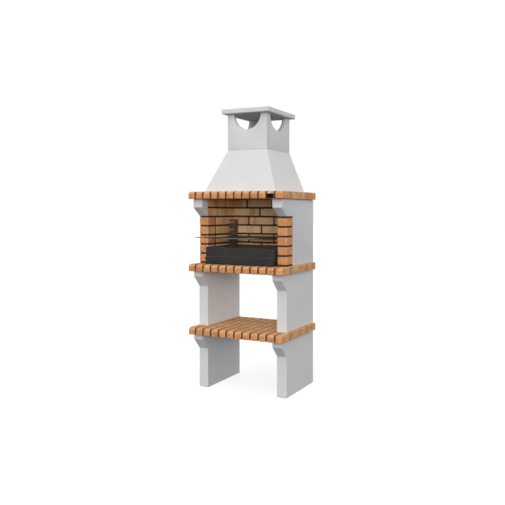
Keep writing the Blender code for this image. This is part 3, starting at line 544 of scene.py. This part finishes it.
def shape_object(name, shape, material, body, nodes=()):
    """Puts a shape into a smooth-shaded object at the origin, moved back by the slab's front."""
    mesh = bpy.data.meshes.new(name)
    points = shape.points + np.array([0.0, SLAB_FRONT, 0.0])
    starts = np.concatenate([[0], np.cumsum(shape.sizes)[:-1]])
    mesh.vertices.add(len(points))
    mesh.vertices.foreach_set("co", points.astype(np.float32).ravel())
    mesh.loops.add(len(shape.corners))
    mesh.loops.foreach_set("vertex_index", shape.corners.astype(np.int32))
    mesh.polygons.add(len(shape.sizes))
    mesh.polygons.foreach_set("loop_start", starts.astype(np.int32))
    mesh.polygons.foreach_set("use_smooth", np.ones(len(shape.sizes), bool))
    mesh.update(calc_edges=True)
    for key, values in shape.marks.items():
        mark = mesh.attributes.new(key, "FLOAT", "POINT")
        mark.data.foreach_set("value", values.astype(np.float32))
    mesh.validate()
    finished(bpy.data.objects.new(name, mesh), material, body, nodes)


def finished(piece, material, body, nodes):
    """Links a piece, gives it its material, hangs it on the empty of its body, and hides the CAD
    nodes that it stands for."""
    bpy.context.scene.collection.objects.link(piece)
    piece.data.materials.append(material)
    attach(piece, body)
    if nodes:
        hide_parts(*nodes)
    return piece


def softened(node, name, material, body, width, segments=3, painted_fill_light=0.0):
    """A merged copy of a CAD node's mesh with its flat faces whole again and its edges rounded. The
    faces that look towards the fire get painted light, a paler and browner colour, in the share
    that the last argument gives."""
    work = bmesh.new()
    work.from_mesh(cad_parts[node].data)
    bmesh.ops.remove_doubles(work, verts=work.verts, dist=0.00002)
    bmesh.ops.dissolve_limit(work, angle_limit=math.radians(0.4), verts=work.verts,
                             edges=work.edges)
    dust = work.faces.layers.float.new("painted_fill_light")
    for face in work.faces:
        face.smooth = True
        # Painted light: the faces towards the fire are marked for a paler colour, standing in for
        # light in the firebox's shade
        face[dust] = painted_fill_light * ((FIRE - face.calc_center_median()).dot(face.normal) > 0)
    mesh = bpy.data.meshes.new(name)
    work.to_mesh(mesh)
    work.free()
    piece = finished(bpy.data.objects.new(name, mesh), material, body, [node])
    bevel = piece.modifiers.new("edge", "BEVEL")
    bevel.width, bevel.segments = width, segments
    bevel.limit_method, bevel.angle_limit = "ANGLE", math.radians(28)
    bevel.harden_normals = True


# Slabs of brick on edge

def eased(value, start, end):
    """A smooth step: 0 at start, 1 at end, s s (3 - 2 s) in between. End may be the smaller one."""
    share = np.clip((value - start) / (end - start), 0, 1)
    return share * share * (3 - 2 * share)


def brick(corners, radii, low, high, axis="x", edge=BRICK_EDGE):
    """One brick: a carried outline with its own tone, a little uneven. Its tan, which says how
    sandy it is, is 0 until a value is marked."""
    shape = carried(corners, radii, low + SKIN, high - SKIN, edge, axis)
    shape = uneven(shape, 0.0009, 0.030, int(chance.integers(1 << 30)))
    return shape.marked(tone=chance.random(), tan=0)


def slab_row(label, base, row):
    """A row, front to back: a nose brick with a rounded upper front edge, and the bricks behind it,
    full height in the end rows, thin slips on the bed in the others. The lintel has only noses. The
    bricks turn orange towards their joints, and only the middle of their rims is worn."""
    x = (row - (ROW_COUNT - 1) / 2) * ROW_PITCH
    low, high = x - BRICK_WIDTH / 2, x + BRICK_WIDTH / 2
    top = base + SLAB_THICKNESS
    end_row = row in (0, ROW_COUNT - 1)
    (nose_rear, second), (second_rear, third) = SIDE_JOINTS
    blunt = NOSE_EDGE + CORNER_MORE
    nose = brick(oblong(SKIN, nose_rear, base + SKIN, top - SKIN),
                 (TOE_RADIUS, blunt, blunt, NOSE_RADIUS), low, high, edge=NOSE_EDGE)
    bricks = [nose.marked(tan=0.75 * eased(nose.points[:, 1], 0.012, 0.045))]
    if label != "lintel" or end_row:
        foot = base + SKIN if end_row else top - SLIP_THICKNESS
        for start, stop in ((second, second_rear), (third, SLAB_DEPTH - SKIN)):
            slip = brick(oblong(start, stop, foot, top - SKIN), BRICK_EDGE + CORNER_MORE, low, high)
            depth = slip.points[:, 1]
            middle = eased(np.minimum(depth - start, stop - depth), 0.004, 0.030)
            slip.marked(tan=0.35 + 0.65 * middle, worn=slip.marks["worn"] * middle)
            bricks.append(slip)
    node = f"{label}_row_{row + 1:02d}"
    shape_object(f"{node}_bricks", joined(bricks), BRICK, "masonry", [node])


def jointed_body(corners, radii, low, high, joints, half, depth, buried):
    """Mortar carried along x: its inset is depth in the middle of each joint and falls to nothing
    towards its sides, depth (1 - s^2), with s the distance from the joint's middle over half. From
    there it grows to buried at s = 1.3, so that inside the bricks nothing of it comes through."""
    steps = np.array([-1.3, -1.0, -0.6, 0.0, 0.6, 1.0, 1.3]) * half
    levels = np.sort(np.concatenate([[low, low + 0.001], np.add.outer(joints, steps).ravel(),
                                     [high - 0.001, high]]))
    share = np.abs(np.subtract.outer(levels, joints)).min(1) / half
    insets = depth * np.clip(1 - share ** 2, 0, 1) + buried * np.clip((share - 1) / 0.3, 0, 1)
    insets[[0, -1]] += 0.0005
    flats = np.stack([outline_ring(corners, radii, inset, spacing=0.02)[0] for inset in insets])
    return skin(stacked(flats, levels, "x"))


def slab(label, base):
    """Brick rows, the mortar between them, struck nearly flush on the slab's sides, and the
    concrete bed that carries them, in the lintel a ring round the flue with mortar beside it.
    Behind the noses, the mortar's top is painted paler: painted light that lifts the shade of the
    joints."""
    for row in range(ROW_COUNT):
        slab_row(label, base, row)
    top, foot = base + SLAB_THICKNESS, base + MORTAR_RECESS
    rear, reach = SLAB_DEPTH - MORTAR_RECESS, SLAB_HALF - MORTAR_RECESS
    struck = SLAB_HALF - 0.0011
    if label == "lintel":
        joint_rear = 0.1300
        strips = [sorted((side * 0.3700, side * struck)) for side in SIDES.values()]
        blocks = [sorted((side * (BED_HALF + 0.0005), side * reach)) for side in SIDES.values()]
        outer = (-BED_HALF, BED_HALF, 0.1306, SLAB_DEPTH - SKIN)
        flue = (-0.2700, 0.2700, 0.1453, 0.4515)
        bed = walled(outer, flue, outer, flue, base + SKIN, top - SKIN, 0.002, 0.004)
    else:
        joint_rear, strips, blocks = rear, [(-struck, struck)], []
        bed = carried(oblong(0.1156, SLAB_DEPTH - SKIN, base + SKIN, base + 0.0235), 0.0035,
                      -BED_HALF, BED_HALF, edge=0.0025, spacing=0.05)
    joints = [(row - ROW_COUNT / 2) * ROW_PITCH for row in range(1, ROW_COUNT)]
    shapes = [jointed_body(oblong(MORTAR_RECESS, joint_rear, foot, top - 0.0005),
                           (0.004, 0.003, 0.003, NOSE_RADIUS - MORTAR_RECESS), -reach, reach,
                           joints, half=0.0068, depth=0.0016, buried=0.0020)]
    shapes += [carried(oblong(start - 0.0020, stop + 0.0020, foot, top - 0.0013), 0.0015, *ends,
                       edge=0.0003) for start, stop in SIDE_JOINTS for ends in strips]
    shapes += [carried(oblong(0.100, rear, foot, top - MORTAR_RECESS), 0.003, *ends, edge=0.001)
               for ends in blocks]
    mortar = uneven(joined(shapes), 0.0008, 0.009, 7 + len(label))
    # Painted light: the mortar's top behind the noses is marked for a paler colour
    painted_light_top = mortar.points[:, 2] > top - 0.0045
    mortar.marked(dust=painted_light_top * eased(mortar.points[:, 1], 0.020, 0.080))
    node = f"{label}_bed"
    shape_object(f"{label}_mortar", mortar, SLAB_MORTAR, "masonry", [node])
    shape_object(f"{label}_concrete_bed", bed, BARE_CONCRETE, "masonry",
                 [node])


def walled(outer_low, inner_low, outer_high, inner_high, low, high, edge, corner):
    """A hollow prism or taper between an outer and an inner rectangle, each given as x0, x1, y0, y1
    at its lower and its upper end. The wall's section is an outline of rounded corners, with w from
    0 outside to 1 inside and h from 0 below to 1 above. At each of its points runs a rectangle:
    outer + w (inner - outer), with both of them mixed from lower to upper by h."""
    wall = 0.03
    section, _ = outline_ring(oblong(0, wall, low, high), edge, spacing=0.04, cuts=6)
    w, h = section[:, :1] / wall, (section[:, 1:] - low) / (high - low)
    lows = outer_low + w * np.subtract(inner_low, outer_low)
    highs = outer_high + w * np.subtract(inner_high, outer_high)
    flats = np.stack([outline_ring(oblong(*sides), corner, cuts=10)[0]
                      for sides in lows + h * (highs - lows)])
    return skin(stacked(flats, section[:, 1], "z")[::-1], looped=True)


# Precast panels

def legs():
    """The four panels that carry the shelf and the worktop. A panel's head reaches forward, ends in
    an upright lip, and slopes back down to the panel's front."""
    reach, lip, drop = 0.063, 0.037, 0.118
    shelf, worktop = SLAB_BASES["shelf"], SLAB_BASES["worktop"]
    heights = {"lower": (0.0, shelf - SKIN),
               "upper": (shelf + SLAB_THICKNESS + SKIN, worktop - SKIN)}
    for level, (base, top) in heights.items():
        outline = [(LEG_FRONT, base), (SLAB_DEPTH, base), (SLAB_DEPTH, top),
                   (LEG_FRONT - reach, top), (LEG_FRONT - reach, top - lip),
                   (LEG_FRONT, top - drop)]
        for word, side in SIDES.items():
            ends = sorted((side * PANEL_INNER, side * PANEL_OUTER))
            panel = carried(outline, 0.0040, *ends, edge=0.0030, spacing=0.04)
            name = f"leg_{level}_{word}"
            shape_object(f"{name}_panel", panel, CONCRETE, "masonry", [name])


def firebox_walls():
    """Side panels with the corbel over each pilaster, and the back panel."""
    for word in SIDES:
        name = f"firebox_side_{word}"
        softened(name, f"{name}_panel", CONCRETE, "masonry", 0.0030)
    half = PANEL_INNER + LINING_DEPTH - SKIN
    back = carried(oblong(BACK_REAR + 2 * SKIN, SLAB_DEPTH - SKIN, FIREBOX_BASE, FIREBOX_TOP),
                   0.0040, -half, half, edge=0.003, spacing=0.05)
    shape_object("firebox_back_panel", back, CONCRETE, "masonry",
                 ["firebox_back"])


def chimney():
    """Hood, stack and cap."""
    foot = np.array([-0.3000, 0.3000, 0.0685, 0.5110])
    head = np.array([-0.1680, 0.1680, 0.1705, 0.5065])
    wall = np.array([0.03, -0.03, 0.03, -0.03])
    low, high = SLAB_BASES["lintel"] + SLAB_THICKNESS + SKIN, 1.7807
    hood = walled(foot, foot + wall, head, head + wall, low, high, 0.003, 0.006)
    shape_object("hood_taper", hood, CONCRETE, "masonry", ["hood"])
    softened("stack", "stack_walls", CONCRETE, "masonry", 0.0032)
    cap = carried(oblong(-0.2015, 0.2015, 0.1370, 0.5400), 0.0065, 2.0463, 2.0825, edge=0.0050,
                  axis="z", spacing=0.04)
    shape_object("stack_cap_plate", cap, CONCRETE, "masonry", ["stack_cap"])


# Firebox brickwork

def pilasters():
    """Five bricks on each side, laid flat with raked joints over a mortar core. Their tan rises
    behind the front's edge, and most on the face towards the fire."""
    for word, side in SIDES.items():
        x0, x1 = sorted((side * PANEL_INNER, side * PANEL_OUTER))
        plan = oblong(x0 + SKIN, x1 - SKIN, PILASTER_FRONT + SKIN, PILASTER_REAR)
        bricks = []
        for course in range(5):
            base = COURSE_BASE + course * COURSE_PITCH
            shape = brick(plan, 0.0080, base, base + COURSE_HEIGHT, "z")
            behind = eased(shape.points[:, 1], PILASTER_FRONT + 0.003, PILASTER_FRONT + 0.014)
            beside = eased(np.abs(shape.points[:, 0]), PANEL_INNER + 0.012, PANEL_INNER + 0.003)
            bricks.append(shape.marked(tan=0.15 + 0.25 * behind + 0.55 * behind * beside))
        core = carried(oblong(x0 + MORTAR_RECESS, x1 - MORTAR_RECESS,
                              PILASTER_FRONT + MORTAR_RECESS, PILASTER_REAR - 0.0005), 0.006,
                       FIREBOX_BASE, PILASTER_TOP, edge=0.001, axis="z", spacing=0.01)
        core = uneven(core, 0.0010, 0.009, 19 + side)
        node = f"pilaster_{word}"
        shape_object(f"{node}_bricks", joined(bricks), BRICK, "masonry", [node])
        shape_object(f"{node}_mortar", core, MORTAR, "masonry", [node])


def course_span(course):
    """Lower and upper edge of a lining course. The last one ends under the lintel."""
    base = COURSE_BASE + course * COURSE_PITCH
    return base, min(base + COURSE_HEIGHT, FIREBOX_TOP)


def linings():
    """Slips on edge against the side and back panels, over a mortar backing. The two courses above
    the pilasters break joint, and the slips of the back are painted paler: painted light, as the
    back wall is lit more than the sides."""
    corner = SLIP_EDGE + CORNER_MORE
    front, behind_pilaster, rear = PILASTER_FRONT + SKIN, 0.2023, BACK_FACE - SKIN
    side_spans = {5: [(front, 0.2146), (0.2230, rear)], 6: [(front, 0.3180), (0.3264, rear)]}
    for word, side in SIDES.items():
        x0, x1 = sorted((side * PANEL_INNER, side * (PANEL_INNER + LINING_DEPTH)))
        slips = []
        for course in range(7):
            low, high = course_span(course)
            slips += [brick(oblong(y0, y1, low, high), corner, x0, x1, edge=SLIP_EDGE)
                      for y0, y1 in side_spans.get(course, [(behind_pilaster, rear)])]
        ends = sorted((side * (PANEL_INNER + LINING_RECESS), side * (PANEL_INNER + LINING_DEPTH)))
        backing = joined([carried(oblong(start + 0.0005, BACK_FACE - 0.0005, low, high), 0.002,
                                  *ends, edge=0.001, spacing=0.012)
                          for start, low, high in ((PILASTER_REAR, FIREBOX_BASE, 1.3000),
                                                   (PILASTER_FRONT, 1.2930, FIREBOX_TOP))])
        node = f"lining_{word}"
        shape_object(f"{node}_slips", joined(slips), FIREBRICK, "masonry",
                     [node])
        shape_object(f"{node}_mortar", uneven(backing, 0.0012, 0.012, 31 + side), MORTAR,
                     "masonry", [node])
    pitch, edge_x = 0.231, PANEL_INNER + LINING_DEPTH - SKIN
    slips = []
    for course, shift in enumerate((0.56, 1.06, 0.56, 1.06, 0.56, 1.00, 0.48)):
        low, high = course_span(course)
        joints = [x for x in ((shift + n) * pitch - PANEL_INNER for n in range(-1, 4))
                  if abs(x) < PANEL_INNER - JOINT]
        starts = [-edge_x] + [x + JOINT / 2 for x in joints]
        ends = [x - JOINT / 2 for x in joints] + [edge_x]
        for start, end in zip(starts, ends):
            slip = brick(oblong(low, high, start, end), corner, BACK_FACE, BACK_REAR, "y",
                         SLIP_EDGE)
            # Painted light: tan 0.9 gives the back's slips a paler colour than the sides
            slips.append(slip.marked(tan=0.9))
    backing = carried(oblong(FIREBOX_BASE, FIREBOX_TOP, -edge_x, edge_x), 0.002,
                      BACK_FACE + LINING_RECESS, BACK_REAR, edge=0.001, axis="y", spacing=0.012)
    shape_object("lining_back_slips", joined(slips), FIREBRICK, "masonry",
                 ["lining_back"])
    shape_object("lining_back_mortar", uneven(backing, 0.0012, 0.012, 43), MORTAR, "masonry",
                 ["lining_back"])


# Charcoal box, racks and grill

def fire_grate():
    """Cast bars with crowned tops, tied by three cross bars that lie a little lower."""
    bar_count, bar, base, top = 17, 0.010, 0.9891, 0.9971
    half, front, rear = 0.2609, 0.0765, 0.4348
    shapes = [carried(oblong(base, top, x, x + bar), (0.0014, 0.0030, 0.0030, 0.0014), front, rear,
                      edge=0.0012, axis="y", spacing=0.05, support=0.0002)
              for x in np.linspace(-half, half - bar, bar_count)]
    shapes += [carried(oblong(y, y + bar, base + 0.0006, top - 0.0012), 0.0016, -half + 0.001,
                       half - 0.001, edge=0.0012, spacing=0.05, support=0.0003)
               for y in (front + 0.0003, (front + rear - bar) / 2, rear - bar - 0.0003)]
    shape_object("fire_grate_bars", joined(shapes), IRON, "fire_grate",
                 ["fire_grate"])


def grill():
    """Welded wire grill: frame, wires on top, tail rods for the slots, two bent handles, and the
    weld beads where they cross."""
    z, half, front, rear = 1.1245, 0.2459, 0.0730, 0.4055
    rod, wire, corner, wire_count = 0.0030, 0.0020, 0.010, 22
    step, wire_z, tail_half = 0.0054, 1.1289, 0.2759
    upper, lower = 0.3955, 0.3455
    wire_rear = upper - 0.020
    crossings = (front, (front + wire_rear) / 2, wire_rear)
    tip, rise, handle_half = -0.1217, z + 0.016, half - 0.075
    frame_path = bent_path([(x, y, z) for x, y in oblong(-half, half, front, rear)], corner,
                           closed=True)
    shapes = [tube(frame_path, rod, 16, closed=True)]
    shapes += [cross_rod(half, y, z, rod, 12) for y in crossings[1:]]
    shapes += [cross_rod(tail_half, lower, z - step, rod, 14),
               cross_rod(tail_half, upper, z + step, rod, 14)]
    for side in SIDES.values():
        path = [(side * half, front + corner, z), (side * half, tip, rise),
                (side * handle_half, tip, rise), (side * handle_half, front, z)]
        shapes.append(tube(bent_path(path, 0.018, 8), rod, 16))
    beads = []
    for i in range(wire_count):
        x = half * (2 * (i + 1) / (wire_count + 1) - 1)
        shapes.append(tube([(x, y, wire_z) for y in np.linspace(front - rod, wire_rear + rod, 14)],
                           wire, 12))
        beads += [bead((x, y, z + rod - 0.0004), (0.0031, 0.0026, 0.0014)) for y in crossings]
    for side in SIDES.values():
        beads += [bead((side * half, y, z + sign * rod * 0.9), (0.0036, 0.0036, 0.0016))
                  for y, sign in ((lower, -1), (upper, 1))]
        beads.append(bead((side * handle_half, front, z), (0.0046, 0.0038, 0.0034)))
    shape_object("grill_rods", joined(shapes + beads), CHROME, "grill", ["grill"])


def charcoal_box():
    """The folded steel box and its two slotted racks, from the CAD's own sheets, paler on their
    faces towards the fire as painted light. A bead stiffens the box's front, with a painted
    highlight where it faces up and a little forward. Each rack's flange is held by four pan-head
    screws, and the flap at the box's front hangs on a rolled edge with a pin in it."""
    # Painted light: the box's faces towards the fire (0.8) and the racks' (1.0) get a paler colour
    softened("charcoal_box", "charcoal_box_sheets", STEEL, "charcoal_box",
             0.0009, 2, painted_fill_light=0.8)
    y, z, radius = 0.0712, 0.9885, 0.0028
    stiffener = cross_rod(0.2850, y, z, radius, 20, 20)
    # Painted highlight along the bead's upper front, as if light caught it from above
    highlight_cosine = (stiffener.points[:, 1:] - (y, z)) @ PAINTED_HIGHLIGHT_WAY / radius
    stiffener.marked(worn=np.clip(highlight_cosine, 0, 1))
    shape_object("box_front_bead", stiffener, STEEL, "charcoal_box")
    heads = []
    for word, side in SIDES.items():
        softened(f"rack_{word}", f"rack_{word}_sheet", STEEL, "charcoal_box",
                 0.0007, 2, painted_fill_light=1.0)
        heads += [bead((side * 0.2775, 0.4345, z), (0.0042, 0.0020, 0.0042), 16, 8)
                  for z in (0.965, 0.995, 1.025, 1.050)]
    shape_object("rack_screws", joined(heads), ZINC, "charcoal_box")
    ash_flap()


def ash_flap():
    """The flap's sheet with its rolled upper edge, 4 mm in radius, and its lip, carried along x.
    A painted highlight lies where the roll faces up and a little forward: its mark is 0.4 times the
    fourth power of the cosine to that direction."""
    axis_y, axis_z, roll, foot = 0.0655, 0.9785, 0.0040, 0.9380
    face, back, lip = axis_y - roll, axis_y - roll + 0.0020, axis_y - roll - 0.0060
    corners = [(lip, foot), (back, foot), (back, axis_z - roll), (axis_y + roll, axis_z - roll),
               (axis_y + roll, axis_z + roll), (face, axis_z + roll), (face, foot + 0.0020),
               (lip, foot + 0.0020)]
    radii = (0.0009, 0.0009, 0.0010, 0.0039, 0.0039, 0.0039, 0.0010, 0.0009)
    sheet = carried(corners, radii, -0.2879, 0.2879, edge=0.0006, arc=6, spacing=0.05)
    away = sheet.points[:, 1:] - (axis_y, axis_z)
    # Painted highlight along the roll's crest, standing in for light that catches it
    highlight_cosine = away @ PAINTED_HIGHLIGHT_WAY / roll
    sheet.marked(worn=0.4 * np.clip(highlight_cosine, 0, 1) ** 4 * (away[:, 1] > -roll))
    pin = cross_rod(0.3043, axis_y, axis_z, 0.0030, 20, 16)
    shape_object("ash_flap_sheet", joined([sheet, pin]), STEEL, "ash_flap",
                 ["ash_flap"])


def name_plate():
    """A bare enamelled plate with two rivets on the eleventh nose of the lintel."""
    middle, low, high = 0.3006, 1.4175, 1.4488
    plate = carried(oblong(low, high, middle - 0.0283, middle + 0.0283), 0.0022, -0.0016, 0.0002,
                    edge=0.0005, axis="y", spacing=0.02, support=0.0003)
    shape_object("name_plate", plate.marked(worn=0), ENAMEL, "masonry")
    rivets = [bead((middle + s * 0.0243, -0.0015, (low + high) / 2), (0.0015, 0.0008, 0.0015), 12)
              for s in SIDES.values()]
    shape_object("name_plate_rivets", joined(rivets), ZINC, "masonry")


for slab_label, slab_base in SLAB_BASES.items():
    slab(slab_label, slab_base)
legs()
firebox_walls()
chimney()
pilasters()
linings()
fire_grate()
grill()
charcoal_box()
name_plate()


# Stage, light and camera

def pale_floor():
    """Studio floor: dull towards the object, so that little light comes back up, and white to the
    camera and in reflections, where it still shows the object's soft shadow."""
    material, tree = new_material("studio_floor")
    dull = add(tree, "BsdfDiffuse", {"Color": "#525252"})
    shown = add(tree, "BsdfDiffuse", {"Color": "#A5A5A5"})
    glow = add(tree, "Emission", {"Color": "#FFFFFF", "Strength": 0.74})
    pale = add(tree, "AddShader", {0: shown, 1: glow})
    mix = add(tree, "MixShader", {0: seen_directly(tree), 1: dull, 2: pale})
    add(tree, "OutputMaterial", {"Surface": mix})
    half = 40.0
    mesh = bpy.data.meshes.new("studio_floor")
    mesh.from_pydata([(x, y, 0) for x, y in oblong(-half, half, -half, half)], [], [(0, 1, 2, 3)])
    floor = bpy.data.objects.new("studio_floor", mesh)
    bpy.context.scene.collection.objects.link(floor)
    mesh.materials.append(material)


def seen_directly(tree):
    """1 for a camera, glossy or transmission ray, otherwise 0."""
    path = add(tree, "LightPath").node.outputs
    either = add(tree, "Math", {0: path["Is Camera Ray"], 1: path["Is Glossy Ray"]},
                 operation="MAXIMUM")
    return add(tree, "Math", {0: either, 1: path["Is Transmission Ray"]}, operation="MAXIMUM")


def studio_light():
    """An even pale surround, and two broad soft lamps: one low from the front and right, which also
    reaches into the firebox, and one high from the front."""
    world = bpy.data.worlds.new("studio")
    bpy.context.scene.world = world
    world.use_nodes = True
    tree = world.node_tree
    tree.nodes.clear()
    around = add(tree, "Background", {"Color": "#FFFFFF", "Strength": 0.705})
    behind = add(tree, "Background", {"Color": "#FFFFFF", "Strength": 1.0})
    mix = add(tree, "MixShader", {0: seen_directly(tree), 1: around, 2: behind})
    add(tree, "OutputWorld", {"Surface": mix})
    for name, strength, source in (("low_lamp", 1.32, (0.60, -0.79, 0.10)),
                                   ("high_lamp", 0.85, (0.0, -0.64, 0.77))):
        lamp = bpy.data.lights.new(name, "SUN")
        lamp.energy = strength
        lamp.angle = math.radians(38)
        holder = bpy.data.objects.new(name, lamp)
        holder.rotation_euler = Vector(source).to_track_quat("Z", "Y").to_euler()
        bpy.context.scene.collection.objects.link(holder)


def photo_camera():
    """The pinhole camera that was fitted to the photograph. The picture's side, the focal length
    and the centre of view are in pixels, the turns in radians."""
    side, focal, centre_x, centre_y = 505.0, 557.21, 366.0, 222.5
    azimuth, tilt, roll = 0.37682, 0.02094, 0.00366
    lens = bpy.data.cameras.new("photo_camera")
    lens.sensor_width = 36.0
    lens.lens = focal * lens.sensor_width / side
    lens.shift_x = (side / 2 - centre_x) / side
    lens.shift_y = (centre_y - side / 2) / side
    camera = bpy.data.objects.new("photo_camera", lens)
    camera.location = (2.3352, -3.3373 + SLAB_FRONT, 1.3312)
    turn = Matrix.Rotation(azimuth, 3, "Z") @ Matrix.Rotation(math.pi / 2 - tilt, 3, "X")
    camera.rotation_euler = (turn @ Matrix.Rotation(roll, 3, "Z")).to_euler()
    bpy.context.scene.collection.objects.link(camera)
    bpy.context.scene.camera = camera


pale_floor()
studio_light()
photo_camera()
bpy.context.scene.view_settings.view_transform = "Standard"

bpy.context.view_layer.update()
